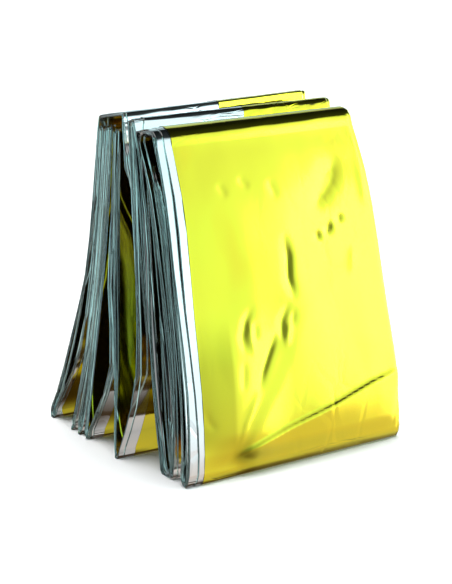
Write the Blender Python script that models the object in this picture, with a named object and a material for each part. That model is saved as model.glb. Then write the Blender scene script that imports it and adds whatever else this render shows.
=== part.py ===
"""Emergency foil blanket: one film sheet, folded to a narrow strip of many layers, then back and forth.

The packet stands on its lower folds, half opened like a fan. The strip is one back-and-forth section of
sixteen leaves. Its first leaf is tucked under the front ridge and its last under the rear one.
X runs along the ridges, -Y is the front and Z is up. The tables are in millimetres.
"""

import math
from collections import namedtuple

import bpy

MM = 0.001

STAND_HEIGHT = 130.0
# How far the strip's edges are to the left and right, at the ridges and at the feet: loose layers spread a
# little lower down, and more so at the right.
LEFT_TOP = 46.5
LEFT_FOOT = 50.0
RIGHT_TOP = 43.0
RIGHT_FOOT = 50.0

# Heights at which the leaf table gives each leaf's place
SHOULDER = 100.0
WAIST = 66.0
KNEE = 33.0
ANKLE = 12.0

STATIONS = 7
STEPS_PER_SPAN = 2
FOLD_STEPS = 6
SWAY = 0.8
FLOOR = 0.0

# One row for each leaf, along the strip. crest and sole are the heights where its folds begin. top to foot
# are the leaf's places, front to back, at the left end. thin, thick and low are its thickness at the crest,
# the waist and the sole. fan_top and fan_foot say how far the right end lies behind the left one, and drift
# how far the foot has slid to the left.
Leaf = namedtuple(
    "Leaf",
    "name crest top shoulder waist knee ankle foot sole thin thick low fan_top fan_foot drift",
)
LEAVES = (
    Leaf("front lining", 116, 28.0, 21.0, 13.7, 7.0, 4.7, 5.2, 5, 1.8, 3.0, 2.4, 1.5, 0, 0),
    Leaf("front face", 123, 26.4, 17.2, 9.9, 3.2, 0.8, 1.9, 5, 2.2, 3.2, 2.4, 1.5, 0, 0),
    Leaf("front back", 123, 37.8, 27.8, 20.4, 13.6, 11.4, 11.2, 5, 2.2, 5.0, 3.0, -1, 0, 0),
    Leaf("second front", 128, 42.3, 35.5, 30.2, 24.7, 20.2, 18.6, 5, 1.6, 6.6, 3.2, -1, 0, 0),
    Leaf("second back", 128, 45.1, 41.2, 36.3, 32.5, 37.0, 39.9, 4, 1.5, 1.8, 1.5, 1, -5, 7),
    Leaf("third front", 124, 55.0, 54.9, 52.2, 47.2, 44.4, 42.8, 4, 1.2, 3.8, 1.6, 7, -6, 7),
    Leaf("third back", 124, 56.8, 57.9, 57.0, 51.6, 60.0, 63.9, 4, 1.2, 2.4, 1.5, 7, -6, 7),
    Leaf("fourth front", 125, 58.5, 60.2, 62.8, 65.0, 66.4, 66.8, 4, 1.2, 1.2, 1.4, 7, -6, 7),
    Leaf("fourth back", 125, 60.2, 61.9, 64.5, 67.0, 69.5, 70.6, 5, 1.2, 1.2, 1.3, 7, -6, 7),
    Leaf("fifth front", 124, 61.9, 63.6, 66.2, 69.0, 71.7, 73.1, 5, 1.2, 1.2, 1.3, 7, -6, 7),
    Leaf("fifth back", 124, 63.6, 65.3, 67.9, 71.0, 74.5, 76.3, 4, 1.2, 1.2, 1.3, 7, -6, 7),
    Leaf("sixth front", 124, 65.3, 67.0, 69.7, 73.1, 76.9, 78.8, 4, 1.2, 1.2, 1.3, 7, -6, 7),
    Leaf("sixth back", 124, 67.0, 68.8, 71.8, 77.2, 88.4, 93.3, 4, 1.2, 1.2, 1.5, 7, -8, 7),
    Leaf("rear face", 126, 69.2, 71.3, 76.0, 85.4, 92.4, 96.3, 4, 1.6, 2.4, 1.8, 7, -8, 7),
    Leaf("ridge cover", 129, 50.0, 45.9, 41.1, 37.4, 41.0, 41.2, 11, 1.4, 1.8, 1.1, 8, -5, 7),
    Leaf("rear lining", 121, 46.9, 43.5, 38.7, 34.9, 39.0, 39.2, 11, 1.1, 1.4, 1.1, 8, -5, 7),
)

# One row for each fold between two leaves: where it is, how far it runs past them and how square it is,
# from 2 for a round fold up to about 5 for a flat one. The feet run past the floor, which presses them flat.
Fold = namedtuple("Fold", "name past square")
FOLDS = (
    Fold("front foot", -4.8, 2.0),
    Fold("front ridge", 5.2, 2.2),
    Fold("second foot", -4.2, 3.2),
    Fold("second ridge", 2.6, 2.0),
    Fold("third foot", -4.0, 2.0),
    Fold("inner ridge one", 1.3, 2.0),
    Fold("fourth foot", -4.1, 2.0),
    Fold("inner ridge two", 1.3, 2.0),
    Fold("fifth foot", -5.3, 2.0),
    Fold("inner ridge three", 1.3, 2.0),
    Fold("sixth foot", -4.2, 2.0),
    Fold("inner ridge four", 1.3, 2.0),
    Fold("rear foot", -4.1, 2.0),
    Fold("rear ridge", 3.2, 3.4),
    Fold("nested foot", -1.6, 2.0),
)


def lowness(height):
    """0 at the ridges, 1 at the floor."""
    return min(max(1 - height / STAND_HEIGHT, 0.0), 1.0)


def left_and_right(height, drift):
    """Where the strip's two long edges are, at this height."""
    low = lowness(height)
    left = LEFT_TOP + (LEFT_FOOT - LEFT_TOP) * low
    right = RIGHT_TOP + (RIGHT_FOOT - RIGHT_TOP) * low
    slide = -drift * low * low
    return slide - left, slide + right


def smooth_curve(knots, steps):
    """Points on a smooth curve through (height, place) knots, a few to each span."""
    slopes = []
    for i, (height, place) in enumerate(knots):
        before = knots[max(i - 1, 0)]
        after = knots[min(i + 1, len(knots) - 1)]
        slopes.append((after[1] - before[1]) / (after[0] - before[0]))
    points = []
    for i in range(len(knots) - 1):
        (h0, p0), (h1, p1) = knots[i], knots[i + 1]
        span = h1 - h0
        for step in range(steps):
            t = step / steps
            place = (
                (2 * t**3 - 3 * t**2 + 1) * p0
                + (t**3 - 2 * t**2 + t) * span * slopes[i]
                + (3 * t**2 - 2 * t**3) * p1
                + (t**3 - t**2) * span * slopes[i + 1]
            )
            points.append((h0 + t * span, place))
    points.append(knots[-1])
    return points


def leaf_thickness(leaf, height):
    if height > WAIST:
        share = (height - WAIST) / (leaf.crest - WAIST)
        end = leaf.thin
    else:
        share = (WAIST - height) / (WAIST - leaf.sole)
        end = leaf.low
    return leaf.thick + (end - leaf.thick) * share * share


def leaf_line(leaf, across):
    """The leaf's middle line from crest to sole, as (place, height, thickness), at one station."""
    knots = [
        (leaf.crest, leaf.top),
        (SHOULDER, leaf.shoulder),
        (WAIST, leaf.waist),
        (KNEE, leaf.knee),
        (ANKLE, leaf.ankle),
        (leaf.sole, leaf.foot),
    ]
    line = []
    for height, place in smooth_curve(knots, STEPS_PER_SPAN):
        low = lowness(height)
        fan = leaf.fan_top * (1 - low) + leaf.fan_foot * low**3
        sway = SWAY * math.sin(2 * math.pi * across) * math.sin(math.pi * low)
        line.append((place + fan * across + sway, height, leaf_thickness(leaf, height)))
    return line


def leaf_sides(line):
    """Both faces of a leaf: its middle line moved half its thickness each way."""
    sides = []
    for i, (place, height, thickness) in enumerate(line):
        before = line[max(i - 1, 0)]
        after = line[min(i + 1, len(line) - 1)]
        along = (after[0] - before[0], after[1] - before[1])
        out = thickness / 2 / math.hypot(*along)
        step = (-along[1] * out, along[0] * out)
        sides.append(((place + step[0], height + step[1]), (place - step[0], height - step[1])))
    return sides


def fold_sides(start, end, fold):
    """Both faces of a fold, an inner and an outer bend, from one leaf's end to the next one's."""
    middle = (start[0] + end[0]) / 2
    half = (end[0] - start[0]) / 2
    left_is_inside = (fold.past < 0) == (half > 0)
    sides = []
    for step in range(1, FOLD_STEPS):
        share = step / FOLD_STEPS
        angle = math.pi * share
        aside = math.copysign(abs(math.cos(angle)) ** (2 / fold.square), -math.cos(angle))
        along = math.sin(angle) ** (2 / fold.square)
        base = start[1] + (end[1] - start[1]) * (aside + 1) / 2
        reach = (start[2] + (end[2] - start[2]) * share) / 2
        bends = []
        for out in (-reach, reach):
            place = middle + math.copysign(abs(half) + out, half) * aside
            height = base + math.copysign(abs(fold.past) + out, fold.past) * along
            bends.append((place, height))
        sides.append(tuple(bends) if left_is_inside else tuple(bends[::-1]))
    return sides


def strip_sides(across):
    """Both faces of the whole strip at one station, as two lists of (place, height, drift)."""
    lines = [leaf_line(leaf, across) for leaf in LEAVES]
    # Even leaves run down from crest to sole, and odd ones run up.
    for i in range(1, len(lines), 2):
        lines[i].reverse()
    faces = ([], [])
    for i, line in enumerate(lines):
        stretches = [(leaf_sides(line), LEAVES[i].drift)]
        if i < len(FOLDS):
            drift = (LEAVES[i].drift + LEAVES[i + 1].drift) / 2
            stretches.append((fold_sides(line[-1], lines[i + 1][0], FOLDS[i]), drift))
        for sides, drift in stretches:
            for pair in sides:
                for face, (place, height) in zip(faces, pair):
                    face.append((place, max(height, FLOOR), drift))
    return faces


def strip_mesh():
    """The closed surface of the whole strip: its faces lofted from station to station, and its edges."""
    rings = []
    for station in range(STATIONS):
        across = station / (STATIONS - 1)
        upper, under = strip_sides(across)
        ring = []
        for place, height, drift in upper + under[::-1]:
            left, right = left_and_right(height, drift)
            ring.append((left + (right - left) * across, place, height))
        rings.append(ring)
    count = len(rings[0])
    verts = [tuple(value * MM for value in point) for ring in rings for point in ring]
    faces = []
    for station in range(STATIONS - 1):
        here = station * count
        there = here + count
        for i in range(count):
            j = (i + 1) % count
            faces.append((here + i, there + i, there + j, here + j))
    last = (STATIONS - 1) * count
    for i in range(count // 2 - 1):
        j = count - 1 - i
        faces.append((i, i + 1, j - 1, j))
        faces.append((last + i, last + j, last + j - 1, last + i + 1))
    return verts, faces


def centred(verts):
    """The points moved so that the origin is under the middle of their box."""
    middle = [(min(axis) + max(axis)) / 2 for axis in list(zip(*verts))[:2]]
    return [(x - middle[0], y - middle[1], z) for x, y, z in verts]


def film_material():
    """Gold vacuum-metallised film: bright, smooth and fully metallic."""
    material = bpy.data.materials.new("gold film")
    material.use_nodes = True
    shader = material.node_tree.nodes["Principled BSDF"]
    shader.inputs["Base Color"].default_value = (0.93, 0.78, 0.10, 1.0)
    shader.inputs["Metallic"].default_value = 1.0
    shader.inputs["Roughness"].default_value = 0.12
    return material


def build():
    for thing in list(bpy.data.objects):
        bpy.data.objects.remove(thing)
    collection = bpy.data.collections.new("emergency foil blanket")
    bpy.context.scene.collection.children.link(collection)
    verts, faces = strip_mesh()
    mesh = bpy.data.meshes.new("foil_blanket")
    mesh.from_pydata(centred(verts), [], faces)
    mesh.validate()
    mesh.shade_smooth()
    mesh.set_sharp_from_angle(angle=math.radians(50))
    mesh.materials.append(film_material())
    collection.objects.link(bpy.data.objects.new("foil_blanket", mesh))


build()
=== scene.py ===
"""Emergency foil blanket: one metallised film sheet, folded to a narrow strip and then back and forth."""

import math
from collections import namedtuple

import bpy
import numpy as np
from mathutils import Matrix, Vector


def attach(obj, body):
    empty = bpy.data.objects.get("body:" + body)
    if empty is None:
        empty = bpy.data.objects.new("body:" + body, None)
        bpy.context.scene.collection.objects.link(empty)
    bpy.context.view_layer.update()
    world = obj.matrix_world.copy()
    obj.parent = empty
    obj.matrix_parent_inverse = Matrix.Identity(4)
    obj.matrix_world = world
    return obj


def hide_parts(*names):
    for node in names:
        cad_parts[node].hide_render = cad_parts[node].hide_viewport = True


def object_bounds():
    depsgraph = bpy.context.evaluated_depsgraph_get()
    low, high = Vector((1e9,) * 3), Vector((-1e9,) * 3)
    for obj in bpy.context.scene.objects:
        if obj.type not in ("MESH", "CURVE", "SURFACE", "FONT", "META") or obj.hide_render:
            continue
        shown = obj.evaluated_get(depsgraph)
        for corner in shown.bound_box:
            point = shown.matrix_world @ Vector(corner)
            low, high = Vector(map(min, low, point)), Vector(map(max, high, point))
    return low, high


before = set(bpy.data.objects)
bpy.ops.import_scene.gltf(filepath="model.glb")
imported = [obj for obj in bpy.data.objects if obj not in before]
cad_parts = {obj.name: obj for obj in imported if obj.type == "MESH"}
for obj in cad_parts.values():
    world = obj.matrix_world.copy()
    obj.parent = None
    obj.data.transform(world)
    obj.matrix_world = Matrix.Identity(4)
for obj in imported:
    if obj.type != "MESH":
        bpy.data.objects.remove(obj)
cad_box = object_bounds()

# ---------------------------------------------------------------------------------------------------------
# The strip's back and forth folds. Sixteen loose layers of film run together, like a soft ribbon, down and
# up through sixteen leaves. The packet stands half open on its lower folds, and its two ends are tucked
# under the front and the rear ridge.

MM = 0.001
STAND_HEIGHT = 130.0
LEFT_TOP = 46.5
LEFT_FOOT = 50.0
RIGHT_TOP = 43.0
RIGHT_FOOT = 50.0
SHOULDER = 100.0
WAIST = 66.0
KNEE = 33.0
ANKLE = 12.0

# crest and sole are the heights where a leaf's folds begin. top to foot are its places, front to back, at
# the left end. thin, thick and low are its thickness at the crest, the waist and the sole. fan_top and
# fan_foot say how far the right end lies behind the left one, and drift how far the foot slid to the left.
Leaf = namedtuple(
    "Leaf",
    "name crest top shoulder waist knee ankle foot sole thin thick low fan_top fan_foot drift",
)
LEAVES = (
    Leaf("front lining", 116, 28.0, 21.0, 13.7, 7.0, 4.7, 5.2, 5, 1.8, 3.0, 2.4, 1.5, 0, 0),
    Leaf("front face", 123, 26.4, 17.2, 9.9, 3.2, 0.8, 0.8, 5, 2.2, 3.2, 2.4, 1.5, 0, 0),
    Leaf("front back", 123, 37.8, 27.8, 20.4, 13.6, 11.4, 11.2, 5, 2.2, 5.0, 3.0, -1, 0, 0),
    Leaf("second front", 128, 42.3, 35.5, 30.2, 24.7, 20.2, 18.6, 5, 1.6, 6.6, 3.2, -1, 0, 0),
    Leaf("second back", 128, 45.1, 41.2, 36.3, 32.5, 37.0, 39.9, 4, 1.5, 1.8, 1.5, 1, -5, 7),
    Leaf("third front", 124, 55.0, 54.9, 52.2, 47.2, 44.4, 42.8, 4, 1.2, 3.8, 1.6, 7, -6, 7),
    Leaf("third back", 124, 56.8, 57.9, 57.0, 51.6, 60.0, 63.9, 4, 1.2, 2.4, 1.5, 7, -6, 7),
    Leaf("fourth front", 125, 58.5, 60.2, 62.8, 65.0, 66.4, 66.8, 4, 1.2, 1.2, 1.4, 7, -6, 7),
    Leaf("fourth back", 125, 60.2, 61.9, 64.5, 67.0, 69.5, 70.6, 5, 1.2, 1.2, 1.3, 7, -6, 7),
    Leaf("fifth front", 124, 61.9, 63.6, 66.2, 69.0, 71.7, 73.1, 5, 1.2, 1.2, 1.3, 7, -6, 7),
    Leaf("fifth back", 124, 63.6, 65.3, 67.9, 71.0, 74.5, 76.3, 4, 1.2, 1.2, 1.3, 7, -6, 7),
    Leaf("sixth front", 124, 65.3, 67.0, 69.7, 73.1, 76.9, 78.8, 4, 1.2, 1.2, 1.3, 7, -6, 7),
    Leaf("sixth back", 124, 67.0, 68.8, 71.8, 77.2, 88.4, 93.3, 4, 1.2, 1.2, 1.5, 7, -8, 7),
    Leaf("rear face", 126, 69.2, 71.3, 76.0, 85.4, 92.4, 96.3, 4, 1.6, 2.4, 1.8, 7, -8, 7),
    Leaf("ridge cover", 129, 50.0, 45.9, 41.1, 37.4, 41.0, 41.2, 11, 1.4, 1.8, 1.1, 8, -5, 7),
    Leaf("rear lining", 121, 46.9, 43.5, 38.7, 34.9, 39.0, 39.2, 11, 1.1, 1.4, 1.1, 8, -5, 7),
)
# past is how far a fold runs past its leaves, and square says how flat it is, from 2 for a round one.
Fold = namedtuple("Fold", "name past square")
FOLDS = (
    Fold("front foot", -4.8, 2.0),
    Fold("front ridge", 5.2, 2.2),
    Fold("second foot", -4.2, 3.2),
    Fold("second ridge", 2.6, 2.0),
    Fold("third foot", -4.0, 2.0),
    Fold("inner ridge one", 1.3, 2.0),
    Fold("fourth foot", -4.1, 2.0),
    Fold("inner ridge two", 1.3, 2.0),
    Fold("fifth foot", -5.3, 2.0),
    Fold("inner ridge three", 1.3, 2.0),
    Fold("sixth foot", -4.2, 2.0),
    Fold("inner ridge four", 1.3, 2.0),
    Fold("rear foot", -4.1, 2.0),
    Fold("rear ridge", 3.2, 6.5),
    Fold("nested foot", -1.6, 2.0),
)
FRONT_FACE = 1

# How many net steps a leaf and a fold have along the strip.
LEAF_STEPS = 10
FOLD_STEPS = 6
# Over this share of its length at each end, a leaf turns into its fold.
LEVELLED_SHARE = 0.1


def eased(part):
    """A smooth step: 0 up to 0, and 1 from 1 on."""
    part = np.clip(part, 0, 1)
    return part * part * (3 - 2 * part)


def lowness(height):
    """0 at the ridges, 1 at the floor."""
    return np.clip(1 - height / STAND_HEIGHT, 0.0, 1.0)


def strip_edges(height, drift):
    """Where the strip's two long edges are, at this height."""
    low = lowness(height)
    slide = -drift * low * low
    left = slide - LEFT_TOP - (LEFT_FOOT - LEFT_TOP) * low
    right = slide + RIGHT_TOP + (RIGHT_FOOT - RIGHT_TOP) * low
    return left, right


def leaf_line(i, share, across):
    """Places, heights and thicknesses along a leaf's middle, at shares of the way down its strip."""
    leaf = LEAVES[i]
    knots = np.array([leaf.crest, SHOULDER, WAIST, KNEE, ANKLE, leaf.sole], float)
    spots = np.array([leaf.top, leaf.shoulder, leaf.waist, leaf.knee, leaf.ankle, leaf.foot])
    slopes = np.empty(len(knots))
    slopes[1:-1] = (spots[2:] - spots[:-2]) / (knots[2:] - knots[:-2])
    slopes[0] = (spots[1] - spots[0]) / (knots[1] - knots[0])
    slopes[-1] = (spots[-1] - spots[-2]) / (knots[-1] - knots[-2])
    # Even leaves run down from crest to sole, and odd ones run up.
    down = share if i % 2 == 0 else 1 - share
    height = leaf.crest + (leaf.sole - leaf.crest) * down
    at = np.clip(np.searchsorted(-knots, -height, side="right") - 1, 0, len(knots) - 2)
    span = knots[at + 1] - knots[at]
    t = (height - knots[at]) / span
    place = (
        (2 * t**3 - 3 * t**2 + 1) * spots[at]
        + (t**3 - 2 * t**2 + t) * span * slopes[at]
        + (3 * t**2 - 2 * t**3) * spots[at + 1]
        + (t**3 - t**2) * span * slopes[at + 1]
    )
    low = lowness(height)
    place = place + (leaf.fan_top * (1 - low) + leaf.fan_foot * low**3) * across
    upper = np.clip((height - WAIST) / (leaf.crest - WAIST), 0, 1)
    lower = np.clip((WAIST - height) / (WAIST - leaf.sole), 0, 1)
    thinning = (leaf.thin - leaf.thick) * upper**2
    flattening = (leaf.low - leaf.thick) * lower**2
    return place, height, leaf.thick + thinning + flattening


def leaf_sides(i, share, across):
    """Both faces of a leaf, each as (places, heights): its middle moved half its thickness each way."""
    nudge = 0.004
    place, height, thickness = leaf_line(i, share, across)
    before = leaf_line(i, np.clip(share - nudge, 0, 1), across)
    after = leaf_line(i, np.clip(share + nudge, 0, 1), across)
    along = np.array([after[0] - before[0], after[1] - before[1]])
    along = along / np.hypot(*along)
    # Toward its ends a leaf's faces level out, so that they meet the folds' faces.
    inner = eased(np.minimum(share, 1 - share) / LEVELLED_SHARE)
    along = along * inner
    along[1] = along[1] + (1 - inner) * (-1 if i % 2 == 0 else 1)
    along = along / np.hypot(*along) * thickness / 2
    return (place - along[1], height + along[0]), (place + along[1], height - along[0])


def fold_sides(i, share, across):
    """Both faces of the fold after leaf i, as an inner and an outer bend."""
    fold = FOLDS[i]
    start = [float(value[0]) for value in leaf_line(i, np.array([1.0]), across)]
    end = [float(value[0]) for value in leaf_line(i + 1, np.array([0.0]), across)]
    middle = (start[0] + end[0]) / 2
    half = (end[0] - start[0]) / 2
    angle = math.pi * share
    aside = -np.sign(np.cos(angle)) * np.abs(np.cos(angle)) ** (2 / fold.square)
    along = np.clip(np.sin(angle), 0, 1) ** (2 / fold.square)
    base = start[1] + (end[1] - start[1]) * (aside + 1) / 2
    reach = (start[2] + (end[2] - start[2]) * share) / 2
    bends = []
    for out in (-reach, reach):
        place = middle + math.copysign(1, half) * (abs(half) + out) * aside
        height = base + math.copysign(1, fold.past) * (abs(fold.past) + out) * along
        bends.append((place, height))
    left_is_inside = (fold.past < 0) == (half > 0)
    return bends if left_is_inside else bends[::-1]


# ---------------------------------------------------------------------------------------------------------
# The lengthwise pleats. The sheet was first folded in zigzag to sixteen layers, so that the strip has both
# of the sheet's long edges at its left, with silver spines between them, and gold spines at its right.
# The layers are loose: they gather in bundles, which part and join again along the strip.

LAYERS = 16
# How far a spine bulges past its layers' ends, in mm.
SPINE_REACH = 0.4
# Shares of the strip's thickness: in a spine, in the slot between two spines, and next to an outer layer.
SPINE_ROOM = 1.0
SLOT_ROOM = 0.42
OUTER_ROOM = 0.3
# How unevenly the layers gather, from 0 for evenly.
LOOSENESS = 2.2
# This share of the thickness is spread evenly over the gaps, and the rest as loosely as the film lies.
EVEN_SHARE = 0.5
# How far each spine lies inside the strip's edge, how far it wanders along the strip, and the same for the
# sheet's own long edges.
LEFT_SPINE_INSETS = (3.9, 0.5, 1.5, 0.4, 1.1, 0.4, 2.3)
RIGHT_SPINE_INSETS = (1.3, 0.2, 1.0, 0.0, 0.6, 1.4, 0.3, 1.8)
LEFT_SPINE_WANDER = 0.75
RIGHT_SPINE_WANDER = 0.3
EDGE_INSET = 7.0
EDGE_WANDER = 0.28
# The sheet's long edges were laid askew: here they run this far from the strip's left edge, at a leaf's
# crest and at its sole.
FIRST_EDGE_ASKEW = {
    "second front": (48.5, 7),
    "second back": (48.5, 7),
    "third front": (2, 1),
    "fourth front": (1, 1),
}
LAST_EDGE_ASKEW = {
    "ridge cover": (45, 7),
    "rear face": (45, 7),
    "sixth back": (3, 3),
}
# Above 1 an askew edge runs in a bow, steeper toward the crest.
ASKEW_BOW = 1.4
# The two nested leaves, which are the last ones, lie drawn in from the strip's left edge, below this height.
DRAWN_IN = 15.0
DRAWN_IN_BELOW = 112.0
DRAWN_IN_OVER = 40.0
NESTED_STRETCH = 28
# The strip's unevenness comes in waves of these lengths. Along it a leaf and its fold take up LEAF_RUN.
WAVE_LENGTHS = (61.0, 117.0, 190.0, 330.0)
LEAF_RUN = 137.5

waves = np.random.default_rng(16)


def ripple(run, phases):
    """A smooth unevenness along the strip, about -1 to 1."""
    total = np.zeros_like(run)
    for length, phase in zip(WAVE_LENGTHS, phases):
        total = total + np.sin(2 * math.pi * (run / length + phase))
    return total / math.sqrt(len(WAVE_LENGTHS))


left_gap_phases = waves.random((LAYERS - 1, len(WAVE_LENGTHS)))
right_gap_phases = waves.random((LAYERS - 1, len(WAVE_LENGTHS)))
inset_phases = waves.random((LAYERS + 1, len(WAVE_LENGTHS)))


def layer_depths(run, phases, first_spine):
    """How deep each layer lies in the strip, 0 to 1. The springy spines take more room than the slots."""
    gaps = []
    for gap in range(LAYERS - 1):
        looseness = np.exp(LOOSENESS * ripple(run, phases[gap]))
        room = SPINE_ROOM if gap % 2 == first_spine else SLOT_ROOM
        # At the left the sheet's long edges lie close on the spines beside them.
        if first_spine == 1 and gap in (0, 1, LAYERS - 3, LAYERS - 2):
            room, looseness = OUTER_ROOM, np.sqrt(looseness)
        gaps.append(room * looseness)
    depths = np.vstack([np.zeros_like(run), np.cumsum(gaps, axis=0)])
    even = np.arange(LAYERS)[:, None] / (LAYERS - 1)
    return EVEN_SHARE * even + (1 - EVEN_SHARE) * depths / depths[-1]


def askew_inset(table, stretch, share):
    """How far the sheet's long edge lies inside the strip's left edge."""

    def at_leaf(i, part):
        crest, sole = table.get(LEAVES[i].name, (EDGE_INSET, EDGE_INSET))
        up = 1 - part if i % 2 == 0 else part
        return sole + (crest - sole) * up**ASKEW_BOW

    i = stretch // 2
    if stretch % 2 == 0:
        return at_leaf(i, share)
    return at_leaf(i, 1.0) + (at_leaf(i + 1, 0.0) - at_leaf(i, 1.0)) * share


# ---------------------------------------------------------------------------------------------------------
# The outermost layers lie loose on the strip. They billow a little, and the front face carries the creases
# that the packet got in its bag: a long diagonal one low down, dents, crinkles and a soft trough.

# How far the first and the last layer billow off the strip, where there is room for it.
LOOSE = {"front face": (0.55, 0.08), "rear face": (0.08, 0.8), "ridge cover": (0.08, 0.25)}
LOOSE_ELSEWHERE = (0.07, 0.07)
BILLOWS = 14
SHORTEST_BILLOW = 16
BILLOW_SPREAD = 60
billow_turns = waves.random((BILLOWS, 4))


def billow(x, run):
    """Soft irregular waves over the film, 0 to 1."""
    total = np.zeros(np.broadcast(x, run).shape)
    weight = 0.0
    for turn, size, phase, stretch in billow_turns:
        length = SHORTEST_BILLOW + BILLOW_SPREAD * size
        heading = math.pi * turn
        across = x * math.cos(heading) + run * math.sin(heading) * (0.4 + 0.6 * stretch)
        total = total + length * np.sin(2 * math.pi * (across / length + phase))
        weight += length
    return np.clip(0.5 + total / weight, 0, 1)


# Places on a face: x from the strip's left edge and z, in mm. A positive depth goes in, a negative one out.
Crease = namedtuple("Crease", "depth width points")
FRONT_CREASES = (
    # up from the low corner
    Crease(-0.35, 1.3, ((20.5, 9), (24.8, 21.5), (29.8, 30.4), (31.6, 35.7))),
    # the deep trough above it
    Crease(0.95, 1.4, ((42.0, 54), (36.5, 45), (33.2, 38.8), (30.4, 31))),
    # an upright line over the low corner
    Crease(0.3, 1.1, ((25.2, 45), (24.0, 32))),
    # the crinkle on the left
    Crease(0.6, 1.3, ((32.2, 64), (27.6, 58), (25.7, 52.9), (26.3, 45.5))),
    Crease(-0.4, 1.2, ((29.8, 60), (29.2, 51), (30.5, 44))),
    Crease(0.35, 1.1, ((31.8, 57), (31.2, 50))),
    # the crinkle in the middle
    Crease(0.6, 1.3, ((48.5, 62.5), (43.6, 56), (42.8, 47))),
    Crease(-0.4, 1.2, ((47.5, 57), (45.5, 50), (44.5, 45))),
    Crease(0.3, 1.1, ((50.0, 60), (48.0, 53))),
    # the long crescent
    Crease(1.15, 1.45, ((47.6, 88.5), (49.2, 79), (48.6, 71), (51.0, 62))),
    # the row of small dents under the corner trough
    Crease(0.85, 1.5, ((62.8, 83), (64.6, 86.4))),
    Crease(0.95, 1.6, ((66.8, 85.4), (71.6, 88.4))),
    Crease(0.8, 1.3, ((74.6, 88.2), (75.4, 91.6))),
    # the soft trough from the upper right corner
    Crease(1.25, 3.8, ((79.5, 113), (69.5, 101.5), (60.5, 92.5))),
    # the hooked crinkle at the lower left
    Crease(0.5, 1.2, ((6.8, 30.5), (9.1, 24), (12.6, 20.2))),
    # faint marks under the ridge
    Crease(0.25, 1.5, ((22.0, 109), (25.5, 103))),
    Crease(0.22, 1.5, ((31.0, 110), (36.0, 105))),
    Crease(0.22, 1.5, ((44.0, 108), (47.5, 100))),
    # long soft ripples down the right side, and a dent by its foot
    Crease(-0.3, 2.2, ((87.5, 112), (88.5, 90))),
    Crease(-0.25, 2.0, ((80.5, 81), (78.5, 67))),
    Crease(0.45, 1.2, ((95.5, 27), (96.2, 14), (95.0, 3))),
)
# The long crease runs through these places, x and z. From its low tip a second, softer bend runs up and to
# the right: its places are z and x.
LONG_CREASE = ((20.5, 9.0), (43.0, 15.5), (65.0, 20.6), (83.0, 25.8), (97.5, 28.6))
BEND_FROM_TIP = ((9.0, 20.5), (21.5, 24.8), (30.4, 29.8), (36.0, 31.6), (60.0, 38.0))
# How far the film stands off at the crease, where the crease is at CREASE_HEIGHT, and how high above it the
# film has come back. The lip is the sharp fold along the crease itself. It starts over the first LIP_START mm
# from the tip, and runs out over LIP_END_FADE mm before LIP_END.
CREASE_RISE = 2.3
CREASE_HEIGHT = 25
CREASE_FADE = 62
CREASE_LIP = 1.1
LIP_WIDTH = 1.9
LIP_START = 10
LIP_END = 104
LIP_END_FADE = 18


def crease_depth(x, z, crease):
    """How deep one crease is at each point: a rounded groove along its line, tapered at both ends."""
    points = np.array(crease.points, float)
    lengths = np.hypot(*np.diff(points, axis=0).T)
    run = np.concatenate([[0.0], np.cumsum(lengths)])
    nearest = np.full(np.broadcast(x, z).shape, 1e9)
    along = np.zeros(nearest.shape)
    for start, end, length, before in zip(points, points[1:], lengths, run):
        heading = (end - start) / length
        at = np.clip((x - start[0]) * heading[0] + (z - start[1]) * heading[1], 0, length)
        off = np.hypot(x - start[0] - at * heading[0], z - start[1] - at * heading[1])
        closer = off < nearest
        nearest = np.where(closer, off, nearest)
        along = np.where(closer, before + at, along)
    taper = eased(along / run[-1] / 0.4) * eased((1 - along / run[-1]) / 0.4)
    return crease.depth * taper * np.exp(-((nearest / crease.width) ** 1.5))


def long_crease_rise(x, z):
    """The long diagonal crease: the film rises slowly to it from above and falls away below it."""
    line = np.interp(x, *np.array(LONG_CREASE).T)
    bend = np.interp(z, *np.array(BEND_FROM_TIP).T)
    # The bend is narrow at the tip. It widens upward, and faster below the crease.
    under = np.clip(line - z, 0, None)
    reach = 7 + 0.3 * np.clip(z - LONG_CREASE[0][1], 0, None) + 2.4 * under
    rise = CREASE_RISE * (line / CREASE_HEIGHT) ** 0.8 * eased((x - bend + 2 + 1.3 * under) / reach)
    above = np.clip(1 - (z - line) / CREASE_FADE, 0, 1)
    below = np.clip(z / line, 0, 1)
    lip = CREASE_LIP * eased((x - LONG_CREASE[0][0]) / LIP_START) * eased((LIP_END - x) / LIP_END_FADE)
    on_lip = np.clip(1 - (z - line) / LIP_WIDTH, 0, 1)
    return np.where(z > line, rise * above**1.3 + lip * on_lip, (rise + lip) * below)


# The face lies flat on the strip at its foot and its sides, and comes off over these distances inward from
# there. EDGE_SHARE is what is left of its lift at the left edge. It bulges most in its middle.
FACE_FOOT = 22
FACE_EDGE = 28
FACE_RIGHT_EDGE = 2.5
EDGE_SHARE = 0.02
FACE_LIFT = 0.45
LEAST_LIFT = 0.02
FACE_BULGE = 0.8
FACE_HEIGHT = 125
# At the lower left the film leans out to an upright ridge over the long crease's tip: how far it stands out,
# the ridge's distance from the film's edge, its slope to the right, and the heights where it starts and ends.
RIDGE_OUT = 1.6
RIDGE_PLACE = 13.5
RIDGE_SLOPE = 26
RIDGE_FROM = 5
RIDGE_TO = 66


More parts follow.
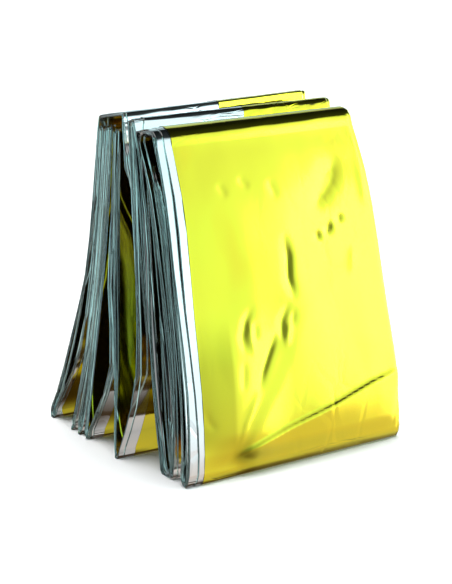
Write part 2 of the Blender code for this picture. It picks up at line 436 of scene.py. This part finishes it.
def front_face_rise(x, z, width):
    """How far the front face's film stands off the strip."""
    foot = eased(z / FACE_FOOT)
    from_edge = np.clip((x - EDGE_INSET) / FACE_EDGE, 0, 1)
    left_side = EDGE_SHARE + (1 - EDGE_SHARE) * (1 - (1 - from_edge) ** 1.8)
    right_side = np.clip((width - x) / FACE_RIGHT_EDGE, 0, 1) ** 0.5
    upright = np.clip(np.sin(math.pi * z / FACE_HEIGHT), 0, 1)
    level = np.clip(np.sin(math.pi * x / width), 0, 1)
    lift = FACE_LIFT + LOOSE["front face"][0] * billow(x, z) + FACE_BULGE * upright * level
    for crease in FRONT_CREASES:
        lift = lift - crease_depth(x, z, crease)
    inward = x - EDGE_INSET
    ridge = np.clip(inward / RIDGE_PLACE, 0, 1) - eased((inward - RIDGE_PLACE) / RIDGE_SLOPE)
    ridge = ridge * eased((z - RIDGE_FROM) / 14) * eased((RIDGE_TO - z) / 24)
    rise = long_crease_rise(x, z) + foot * np.maximum(lift, LEAST_LIFT)
    return left_side * right_side * rise + RIDGE_OUT * ridge


# ---------------------------------------------------------------------------------------------------------
# The film itself: a single sheet of thin polyester, gold on one side and silver on the other, 160 by 220 cm.
# One surface follows the pleats across and the folds along, and is then given its thickness.

SHEET_WIDTH = 1.6
SHEET_LENGTH = 2.2
FILM_THICKNESS = 0.012 * MM

STRETCHES = 2 * len(LEAVES) - 1

# The rear packet's ridges tip to the rear: from this height over TIP_OVER mm, behind this line, with this
# slope. The line and the slope change by the second number from the left end to the right one.
TIP_HEIGHT = 105
TIP_OVER = 24
TIP_LINE = (49, 8)
TIP_SLOPE = (0.05, 0.06)
# No point of the film is lower than this.
FLOOR_GAP = 0.02


def stretch_sides(stretch, share, across):
    """Both faces of a leaf (even stretches) or a fold (odd ones)."""
    if stretch % 2 == 0:
        return leaf_sides(stretch // 2, share, across)
    return fold_sides(stretch // 2, share, across)


def stretch_drift(stretch):
    """How far the foot of this stretch slid to the left."""
    i = stretch // 2
    if stretch % 2 == 0:
        return LEAVES[i].drift
    return (LEAVES[i].drift + LEAVES[i + 1].drift) / 2


def loose_of(stretch):
    """How much the first and the last layer billow in this stretch."""
    if stretch % 2 == 0:
        return LOOSE.get(LEAVES[stretch // 2].name, LOOSE_ELSEWHERE)
    return LOOSE_ELSEWHERE


def layer_insets(stretch, share, run, layer):
    """How far a layer's two ends lie inside the strip's left and right edges."""
    if layer == 0:
        left = askew_inset(FIRST_EDGE_ASKEW, stretch, share)
    elif layer == LAYERS - 1:
        left = askew_inset(LAST_EDGE_ASKEW, stretch, share)
    else:
        pair = (layer - 1) // 2
        wander = LEFT_SPINE_WANDER * ripple(run, inset_phases[pair])
        left = np.maximum(LEFT_SPINE_INSETS[pair] + wander, 0)
    if layer in (0, LAYERS - 1):
        left = left + EDGE_WANDER * ripple(run, inset_phases[layer])
    pair = layer // 2
    right = RIGHT_SPINE_INSETS[pair] + RIGHT_SPINE_WANDER * ripple(run, inset_phases[LAYERS - pair])
    return left, right


def outer_rise(stretch, share, run, layer, from_left, z, width):
    """How far the first or the last layer stands off the strip."""
    if layer == 0 and abs(stretch - 2 * FRONT_FACE) < 2:
        # The face's lift runs out on the folds above and below it.
        fade = {1: eased((share - 0.4) / 0.6), 2: 1.0, 3: eased(1 - share / 0.6)}[stretch]
        return fade * front_face_rise(from_left, z, width)
    # Elsewhere it runs out at each leaf's ends and at the right edge.
    loose = loose_of(stretch)[1 if layer else 0]
    fade = np.clip(np.sin(math.pi * share), 0, 1) ** 0.4 if stretch % 2 == 0 else 0 * share
    fade = fade * np.clip((width - from_left) / 5, 0, 1)
    return loose * fade * (0.3 + 0.7 * billow(from_left, run[:, None]))


def film_points(stretch, share, layer, spot, spine=None):
    """Points of the film: rows at shares along a stretch, columns at spots across a layer, 0 at the left.

    With spine "left" or "right" the column is the bend between this layer and the next one.
    """
    share = np.asarray(share, float)[:, None]
    spot = np.asarray(spot, float)[None, :]
    run = (stretch + share[:, 0]) * LEAF_RUN / 2
    left_depths = layer_depths(run, left_gap_phases, 1)
    right_depths = layer_depths(run, right_gap_phases, 0)

    def depth_at(spot_now, k):
        return left_depths[k][:, None] * (1 - spot_now) + right_depths[k][:, None] * spot_now

    depth = depth_at(spot, layer)
    if spine:
        depth = (depth + depth_at(spot, layer + 1)) / 2
    face_0 = stretch_sides(stretch, share[:, 0], 0.0)
    face_1 = stretch_sides(stretch, share[:, 0], 1.0)
    middle_height = (face_0[0][1] + face_0[1][1]) / 2
    left, right = strip_edges(middle_height, stretch_drift(stretch))
    if stretch >= NESTED_STRETCH:
        left = left + DRAWN_IN * eased((DRAWN_IN_BELOW - middle_height) / DRAWN_IN_OVER)
    inset_left, inset_right = layer_insets(stretch, share[:, 0], run, layer)
    x_left = left + inset_left
    x_right = right - inset_right
    if spine is None:
        if layer not in (0, LAYERS - 1):
            x_left = x_left + SPINE_REACH
        x_right = x_right - SPINE_REACH
        x = x_left[:, None] + (x_right - x_left)[:, None] * spot
    elif spine == "left":
        x = np.repeat(x_left[:, None], spot.shape[1], axis=1)
    else:
        x = np.repeat(x_right[:, None], spot.shape[1], axis=1)
    across = (x - left[:, None]) / (right - left)[:, None]

    def face_at(side):
        y = face_0[side][0][:, None] * (1 - across) + face_1[side][0][:, None] * across
        z = face_0[side][1][:, None] * (1 - across) + face_1[side][1][:, None] * across
        return y, z

    (y_a, z_a), (y_b, z_b) = face_at(0), face_at(1)
    y = y_a + (y_b - y_a) * depth
    z = z_a + (z_b - z_a) * depth
    behind = np.clip(y - TIP_LINE[0] - TIP_LINE[1] * across, 0, None)
    z = z - (TIP_SLOPE[0] + TIP_SLOPE[1] * across) * behind * eased((z - TIP_HEIGHT) / TIP_OVER)
    if spine is None and layer in (0, LAYERS - 1):
        away = np.hypot(y_a - y_b, z_a - z_b)
        away_y, away_z = (y_a - y_b) / away, (z_a - z_b) / away
        if layer:
            away_y, away_z = -away_y, -away_z
        from_left = x - left[:, None]
        width = (right - left)[:, None]
        rise = outer_rise(stretch, share, run, layer, from_left, z, width)
        y = y + away_y * rise
        z = z + away_z * rise
    return np.stack([x, y, np.maximum(z, FLOOR_GAP)], axis=2)


# One column of the film's net: its layer, its spot across that layer, the side of the bend that it makes, if
# any, and its place across the flat sheet.
Column = namedtuple("Column", "layer spot spine flat")
# The two outermost layers on each side have more columns than the ones between them.
OUTER_STEPS = 8
INNER_STEPS = 3
# The share of a layer's flat width that each of its bends takes.
BEND_SHARE = 0.01


def film_columns():
    """The sheet's columns, from one long edge to the other. Odd layers run back from right to left."""
    columns = []
    for layer in range(LAYERS):
        steps = OUTER_STEPS if layer in (0, 1, LAYERS - 2, LAYERS - 1) else INNER_STEPS
        for step in range(steps + 1):
            part = step / steps
            spot = part if layer % 2 == 0 else 1 - part
            flat = (layer + BEND_SHARE + (1 - 2 * BEND_SHARE) * part) / LAYERS
            columns.append(Column(layer, spot, None, flat))
        if layer < LAYERS - 1:
            side = "right" if layer % 2 == 0 else "left"
            columns.append(Column(layer, 1.0 if side == "right" else 0.0, side, (layer + 1) / LAYERS))
    return columns


# Patches where an outer layer shows: they get a finer net, so many parts to each step along and across.
Patch = namedtuple("Patch", "stretch layer rows columns")
PATCHES = (
    Patch(1, 0, 3, 13),
    Patch(2, 0, 15, 13),
    Patch(3, 0, 3, 13),
    Patch(26, 15, 7, 7),
    Patch(27, 15, 2, 7),
)


def steps_of(stretch):
    """How many net steps a stretch has along the strip."""
    return LEAF_STEPS if stretch % 2 == 0 else FOLD_STEPS


def row_shares(stretch, count):
    """Shares along a stretch. On a leaf they lie closer together near its folds."""
    part = np.linspace(0, 1, count + 1)
    if stretch % 2:
        return part
    return part / 2 + (1 - np.cos(math.pi * part)) / 4


class Net:
    """The film's net as it grows: points, places on the flat sheet, column numbers and faces."""

    def __init__(self):
        self.points = []
        self.flats = []
        self.numbers = []
        self.faces = []
        # Finer vertices on the coarse net's edges, by the edge's two vertices and the part of the way.
        self.between = {}

    def add(self, point, flat, number):
        """Add one vertex. Its column number is -1 between the columns."""
        self.points.append(point)
        self.flats.append(flat)
        self.numbers.append(number)
        return len(self.points) - 1


def add_rows(net, columns):
    """Add the strip's rows. Gives every row's vertices, and the number of each stretch's first row."""
    rows = []
    first_rows = []
    for stretch in range(STRETCHES):
        steps = steps_of(stretch)
        first_rows.append(len(rows))
        last = steps + 1 if stretch == STRETCHES - 1 else steps
        shares = row_shares(stretch, steps)[:last]
        lines = [film_points(stretch, shares, col.layer, [col.spot], col.spine)[:, 0] for col in columns]
        for share, places in zip(shares, zip(*lines)):
            along = (stretch + share) / STRETCHES
            rows.append([net.add(place, (columns[c].flat, along), c) for c, place in enumerate(places)])
    return rows, first_rows


def add_patch(net, patch, columns, rows, first_row):
    """Add a patch. Gives the cells of the coarse net that it covers, as rows and columns."""
    steps = steps_of(patch.stretch)
    in_layer = [c for c, col in enumerate(columns) if col.layer == patch.layer and col.spine is None]
    first, last = in_layer[0], in_layer[-1]
    spots = np.linspace(columns[first].spot, columns[last].spot, OUTER_STEPS * patch.columns + 1)
    parts = np.arange(steps * patch.rows + 1) / patch.rows
    shares = np.interp(parts, np.arange(steps + 1), row_shares(patch.stretch, steps))
    block = film_points(patch.stretch, shares, patch.layer, spots)
    block[-1] = film_points(patch.stretch + 1, [0.0], patch.layer, spots)[0]
    tall, wide = block.shape[:2]

    def vertex_at(i, j):
        row, column = first_row + i // patch.rows, first + j // patch.columns
        on_row, on_column = i % patch.rows == 0, j % patch.columns == 0
        at_end, at_side = i in (0, tall - 1), j in (0, wide - 1)
        if (at_end or at_side) and on_row and on_column:
            return rows[row][column]
        edge = None
        if at_end and not on_column:
            edge = (rows[row][column], rows[row][column + 1], j % patch.columns)
        elif at_side and not on_row:
            edge = (rows[row][column], rows[row + 1][column], i % patch.rows)
        if edge in net.between:
            return net.between[edge]
        flat = columns[first].flat + (columns[last].flat - columns[first].flat) * j / (wide - 1)
        along = (patch.stretch + shares[i]) / STRETCHES
        vertex = net.add(block[i, j], (flat, along), column if at_side else -1)
        if edge:
            net.between[edge] = vertex
        return vertex

    grid = [[vertex_at(i, j) for j in range(wide)] for i in range(tall)]
    for upper, lower in zip(grid, grid[1:]):
        for j in range(wide - 1):
            net.faces.append((upper[j], upper[j + 1], lower[j + 1], lower[j]))
    return {(first_row + i, first + j) for i in range(steps) for j in range(OUTER_STEPS)}


def add_coarse_faces(net, columns, rows, covered):
    """Add the faces between the rows. Next to a patch they take in its finer vertices."""
    on_edge = {}
    for (start, end, part), vertex in net.between.items():
        on_edge.setdefault((start, end), []).append((part, vertex))
    for row in range(len(rows) - 1):
        for c in range(len(columns) - 1):
            if (row, c) in covered:
                continue
            corners = (rows[row][c], rows[row][c + 1], rows[row + 1][c + 1], rows[row + 1][c])
            if columns[c].layer % 2:
                # All layers' faces are split along the same diagonal, so that none cuts the next.
                corners = corners[1:] + corners[:1]
            outline = []
            for start, end in zip(corners, corners[1:] + corners[:1]):
                outline.append(start)
                outline += [vertex for _, vertex in sorted(on_edge.get((start, end), []))]
                outline += [vertex for _, vertex in sorted(on_edge.get((end, start), []), reverse=True)]
            net.faces.append(tuple(outline))


def film_mesh():
    """The film's surface, centred on the CAD solid, with its places on the flat sheet as its UV map."""
    net = Net()
    columns = film_columns()
    rows, first_rows = add_rows(net, columns)
    covered = set()
    for patch in PATCHES:
        covered |= add_patch(net, patch, columns, rows, first_rows[patch.stretch])
    add_coarse_faces(net, columns, rows, covered)

    # The vertices that a patch took the place of are left out.
    used = sorted({vertex for face in net.faces for vertex in face})
    new_place = {old: new for new, old in enumerate(used)}
    points = np.array(net.points)[used]
    low = points.min(axis=0)
    high = points.max(axis=0)
    lift = np.array([
        -(low[0] + high[0]) / 2 * MM,
        (cad_box[0].y + cad_box[1].y) / 2 - (low[1] + high[1]) / 2 * MM,
        0.0,
    ])
    mesh = bpy.data.meshes.new("film_sheet")
    mesh.from_pydata(
        [tuple(point) for point in points * MM + lift],
        [],
        [tuple(new_place[vertex] for vertex in face) for face in net.faces],
    )
    flat_map = mesh.uv_layers.new(name="flat")
    flat_places = np.array(net.flats)[used]
    corner_vertex = np.empty(len(mesh.loops), np.int32)
    mesh.loops.foreach_get("vertex_index", corner_vertex)
    flat_map.data.foreach_set("uv", flat_places[corner_vertex].ravel().astype(np.float32))
    # The film is creased sharply where a layer turns into a spine, and its two long edges are cut.
    ends = {c + step for c, column in enumerate(columns) if column.spine for step in (-1, 1)}
    ends |= {0, len(columns) - 1}
    number = np.array(net.numbers)[used]
    mesh.shade_smooth()
    for edge in mesh.edges:
        first, second = number[edge.vertices[0]], number[edge.vertices[1]]
        edge.use_edge_sharp = bool(first == second and first in ends)
    return mesh


sheet_mesh = film_mesh()
film = bpy.data.objects.new("film_sheet", sheet_mesh)
bpy.context.scene.collection.objects.link(film)


def scaled(tree, value, start, end, low=0.0, high=1.0, smooth=False):
    """The result of a Map Range node: low where the value is start, and high where it is end."""
    node = tree.nodes.new("ShaderNodeMapRange")
    node.interpolation_type = "SMOOTHSTEP" if smooth else "LINEAR"
    for name, number in (("From Min", start), ("From Max", end), ("To Min", low), ("To Max", high)):
        node.inputs[name].default_value = number
    tree.links.new(value, node.inputs["Value"])
    return node.outputs["Result"]


def vector_math(tree, operation, *values):
    """The result of a Vector Math node. Each value is a socket or a fixed vector."""
    node = tree.nodes.new("ShaderNodeVectorMath")
    node.operation = operation
    for socket, value in zip(node.inputs, values):
        if isinstance(value, tuple):
            socket.default_value = value
        else:
            tree.links.new(value, socket)
    return node.outputs["Value" if operation == "DOT_PRODUCT" else "Vector"]


def number_math(tree, operation, *values):
    """The result of a Math node, from sockets."""
    node = tree.nodes.new("ShaderNodeMath")
    node.operation = operation
    for socket, value in zip(node.inputs, values):
        tree.links.new(value, socket)
    return node.outputs["Value"]


def noise(tree, place, scale, detail, output="Fac"):
    """The result of a Noise Texture node at this place."""
    node = tree.nodes.new("ShaderNodeTexNoise")
    node.inputs["Scale"].default_value = scale
    node.inputs["Detail"].default_value = detail
    tree.links.new(place, node.inputs["Vector"])
    return node.outputs[output]


# How many waves, creases or spots of each kind come to a metre of the flat film.
SOFT_WAVES = 42.0
FINE_CREASES = 75.0
CREASE_WANDER = 60.0
CREASED_AREAS = 22.0
TINT_SPOTS = 30.0
DULL_SPOTS = 90.0


def crinkle_group():
    """Soft waves and a net of fine creases, laid out on the flat film."""
    group = bpy.data.node_groups.new("film_crinkle", "ShaderNodeTree")
    for name in ("Soft", "Fine"):
        group.interface.new_socket(name, in_out="INPUT", socket_type="NodeSocketFloat")
    group.interface.new_socket("Normal", in_out="OUTPUT", socket_type="NodeSocketVector")
    group.interface.new_socket("Tint", in_out="OUTPUT", socket_type="NodeSocketFloat")
    group.interface.new_socket("Dull", in_out="OUTPUT", socket_type="NodeSocketFloat")
    nodes, links = group.nodes, group.links
    inputs = nodes.new("NodeGroupInput")
    outputs = nodes.new("NodeGroupOutput")
    flat = nodes.new("ShaderNodeUVMap")
    flat.uv_map = "flat"
    metres = vector_math(group, "MULTIPLY", flat.outputs["UV"], (SHEET_WIDTH, SHEET_LENGTH, 0.0))

    # The fine creases are the bent borders of cells, and show only in some areas.
    wander = noise(group, metres, CREASE_WANDER, 2.0, "Color")
    bent = vector_math(group, "MULTIPLY_ADD", wander, (0.01, 0.01, 0.0), metres)
    cells = nodes.new("ShaderNodeTexVoronoi")
    cells.feature = "DISTANCE_TO_EDGE"
    cells.inputs["Scale"].default_value = FINE_CREASES
    links.new(bent, cells.inputs["Vector"])
    creases = scaled(group, cells.outputs["Distance"], 0.0, 0.12)
    areas = scaled(group, noise(group, metres, CREASED_AREAS, 0.0), 0.5, 0.72)
    fine = number_math(group, "MULTIPLY", creases, areas)

    soft_part = number_math(group, "MULTIPLY", noise(group, metres, SOFT_WAVES, 1.0), inputs.outputs["Soft"])
    fine_part = number_math(group, "MULTIPLY", fine, inputs.outputs["Fine"])
    bump = nodes.new("ShaderNodeBump")
    bump.inputs["Distance"].default_value = 1.0 * MM
    links.new(number_math(group, "ADD", soft_part, fine_part), bump.inputs["Height"])
    links.new(bump.outputs["Normal"], outputs.inputs["Normal"])
    tint = scaled(group, noise(group, metres, TINT_SPOTS, 2.0), 0.56, 0.74)
    links.new(tint, outputs.inputs["Tint"])
    links.new(noise(group, metres, DULL_SPOTS, 2.0), outputs.inputs["Dull"])
    return group


crinkle = crinkle_group()


def film_material(name, colour, tinted, soft, fine):
    """One side of the film: a mirror of this colour under clear lacquer, with its crinkles and dull spots."""
    material = bpy.data.materials.new(name)
    material.use_nodes = True
    tree = material.node_tree
    shader = tree.nodes["Principled BSDF"]
    shader.inputs["Metallic"].default_value = 1.0
    shader.inputs["Coat Weight"].default_value = 0.55
    shader.inputs["Coat Roughness"].default_value = 0.04
    relief = tree.nodes.new("ShaderNodeGroup")
    relief.node_tree = crinkle
    relief.inputs["Soft"].default_value = soft
    relief.inputs["Fine"].default_value = fine
    shade = tree.nodes.new("ShaderNodeMix")
    shade.data_type = "RGBA"
    shade.inputs[6].default_value = (*colour, 1.0)
    shade.inputs[7].default_value = (*tinted, 1.0)
    tree.links.new(relief.outputs["Tint"], shade.inputs[0])
    tree.links.new(shade.outputs[2], shader.inputs["Base Color"])
    roughness = scaled(tree, relief.outputs["Dull"], 0.3, 0.7, 0.05, 0.13)
    tree.links.new(roughness, shader.inputs["Roughness"])
    tree.links.new(relief.outputs["Normal"], shader.inputs["Normal"])
    return material


GOLD = (0.92, 0.78, 0.03)
DEEP_GOLD = (0.92, 0.66, 0.02)
SILVER = (0.93, 0.91, 0.90)
COOL_SILVER = (0.83, 0.87, 0.88)
sheet_mesh.materials.append(film_material("gold_film", GOLD, DEEP_GOLD, soft=0.35, fine=0.06))
sheet_mesh.materials.append(film_material("silver_film", SILVER, COOL_SILVER, soft=0.45, fine=0.12))

# The thickness goes inward. The inner side is silver, and so are the sheet's cut edges.
thickness = film.modifiers.new("film thickness", "SOLIDIFY")
thickness.thickness = FILM_THICKNESS
thickness.offset = -1
thickness.material_offset = 1
thickness.material_offset_rim = 1
for other in bpy.context.selected_objects:
    other.select_set(False)
bpy.context.view_layer.objects.active = film
film.select_set(True)
bpy.ops.object.modifier_apply(modifier=thickness.name)
film.select_set(False)

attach(film, "root")
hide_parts("foil_blanket")

# ---------------------------------------------------------------------------------------------------------
# The studio: a plain pale table, soft light from all round and from above, and a dark ceiling between them
# that gives the bright film something to mirror.

TABLE_SIZE = 14.0
bpy.ops.mesh.primitive_plane_add(size=TABLE_SIZE, location=(0, 0, 0))
table = bpy.context.active_object
table.name = "table"
table_paint = bpy.data.materials.new("table_paint")
table_paint.use_nodes = True
table_shader = table_paint.node_tree.nodes["Principled BSDF"]
table_shader.inputs["Base Color"].default_value = (0.9, 0.9, 0.9, 1.0)
table_shader.inputs["Roughness"].default_value = 0.9
table_shader.inputs["Specular IOR Level"].default_value = 0.1
table.data.materials.append(table_paint)
table.visible_glossy = False

# The colour by the sine of the height: dark straight down, a warm pale table, a broad wall, a dark ceiling.
HEIGHT_STOPS = (
    (-1.0, (0.05, 0.03, 0.01)),
    (-0.88, (0.16, 0.10, 0.05)),
    (-0.76, (0.73, 0.73, 0.71)),
    (-0.60, (0.75, 0.67, 0.59)),
    (-0.42, (0.78, 0.78, 0.76)),
    (-0.30, (0.84, 0.92, 0.94)),
    (-0.05, (0.88, 1.14, 1.20)),
    (0.15, (0.88, 1.26, 1.30)),
    (0.58, (0.90, 1.16, 1.22)),
    (0.66, (0.03, 0.04, 0.04)),
    (1.00, (0.03, 0.04, 0.04)),
)
# The brightness by how far a direction faces BRIGHT_SIDE: a bright right side, and a dark left rear corner.
BRIGHT_SIDE = (0.906, -0.42, 0.0)
SIDE_STOPS = (
    (-1.0, (0.02, 0.02, 0.02)),
    (-0.3, (0.03, 0.03, 0.03)),
    (0.0, (0.12, 0.12, 0.12)),
    (0.42, (0.26, 0.26, 0.26)),
    (0.60, (0.66, 0.66, 0.66)),
    (0.74, (0.98, 0.98, 0.98)),
    (0.81, (1.10, 1.10, 1.10)),
    (0.84, (1.6, 1.6, 1.6)),
    (0.88, (2.6, 2.6, 2.6)),
    (1.0, (3.0, 2.7, 2.7)),
)


def colour_along(tree, value, stops):
    """The colour of a ramp with these stops, for a value and stops from -1 to 1."""
    node = tree.nodes.new("ShaderNodeValToRGB")
    tree.links.new(scaled(tree, value, -1.0, 1.0), node.inputs["Fac"])
    elements = node.color_ramp.elements
    elements[0].color = (*stops[0][1], 1)
    elements[1].color = (*stops[-1][1], 1)
    for place, colour in stops[1:-1]:
        elements.new((place + 1) / 2).color = (*colour, 1)
    return node.outputs["Color"]


def parts_of(tree, vector):
    """The X, Y and Z of a vector."""
    node = tree.nodes.new("ShaderNodeSeparateXYZ")
    tree.links.new(vector, node.inputs[0])
    return node.outputs


world = bpy.data.worlds.new("studio")
bpy.context.scene.world = world
world.use_nodes = True
light = world.node_tree
direction = light.nodes.new("ShaderNodeTexCoord").outputs["Generated"]
ray = light.nodes.new("ShaderNodeLightPath").outputs
height = parts_of(light, direction)["Z"]
by_height = colour_along(light, height, HEIGHT_STOPS)
by_side = colour_along(light, vector_math(light, "DOT_PRODUCT", direction, BRIGHT_SIDE), SIDE_STOPS)

# A narrow upright light on the left draws a line down each folded edge, and a soft wall behind lights the
# rear face and the backs of the ridges. Both go by the compass heading alone.
level = vector_math(light, "MULTIPLY", direction, (1.0, 1.0, 0.0))
heading = parts_of(light, vector_math(light, "NORMALIZE", level))
left_light = scaled(light, heading["X"], -0.988, -0.9992, high=1.15, smooth=True)
left_light = vector_math(light, "MULTIPLY", left_light, (0.68, 0.98, 0.94))
rear_light = scaled(light, heading["Y"], 0.5, 0.95, high=0.5, smooth=True)
around = vector_math(light, "ADD", vector_math(light, "ADD", by_side, rear_light), left_light)
walls = vector_math(light, "MULTIPLY", by_height, around)

# A panel overhead lights the table. The film mirrors it more softly.
panel = scaled(light, height, 0.90, 0.96)
panel_strength = scaled(light, ray["Is Diffuse Ray"], 0.0, 1.0, low=0.7, high=11.0)
lit = vector_math(light, "ADD", walls, number_math(light, "MULTIPLY", panel, panel_strength))

# Behind the table the camera sees a plain pale wall.
seen = light.nodes.new("ShaderNodeMix")
seen.data_type = "RGBA"
seen.inputs[7].default_value = (0.95, 0.95, 0.95, 1.0)
light.links.new(ray["Is Camera Ray"], seen.inputs[0])
light.links.new(lit, seen.inputs[6])
light.links.new(seen.outputs[2], light.nodes["Background"].inputs["Color"])

# ---------------------------------------------------------------------------------------------------------
# The camera stands low in front and to the left of the packet, so that the folded left end shows.

AIM = Vector((-10.5, -17.3, 63.1)) * MM
DISTANCE = 609.4 * MM
AZIMUTH = math.radians(-33.0)
ELEVATION = math.radians(16.2)
back = Vector((
    math.sin(AZIMUTH) * math.cos(ELEVATION),
    -math.cos(AZIMUTH) * math.cos(ELEVATION),
    math.sin(ELEVATION),
))
camera_data = bpy.data.cameras.new("camera")
camera_data.lens = 98.0
camera_data.sensor_width = 36.0
camera = bpy.data.objects.new("camera", camera_data)
bpy.context.scene.collection.objects.link(camera)
camera.location = AIM + back * DISTANCE
camera.rotation_mode = "QUATERNION"
camera.rotation_quaternion = (-back).to_track_quat("-Z", "Y")
bpy.context.scene.camera = camera
bpy.context.scene.view_settings.view_transform = "Standard"
# Between the leaves light is mirrored many times.
bpy.context.scene.cycles.glossy_bounces = 8
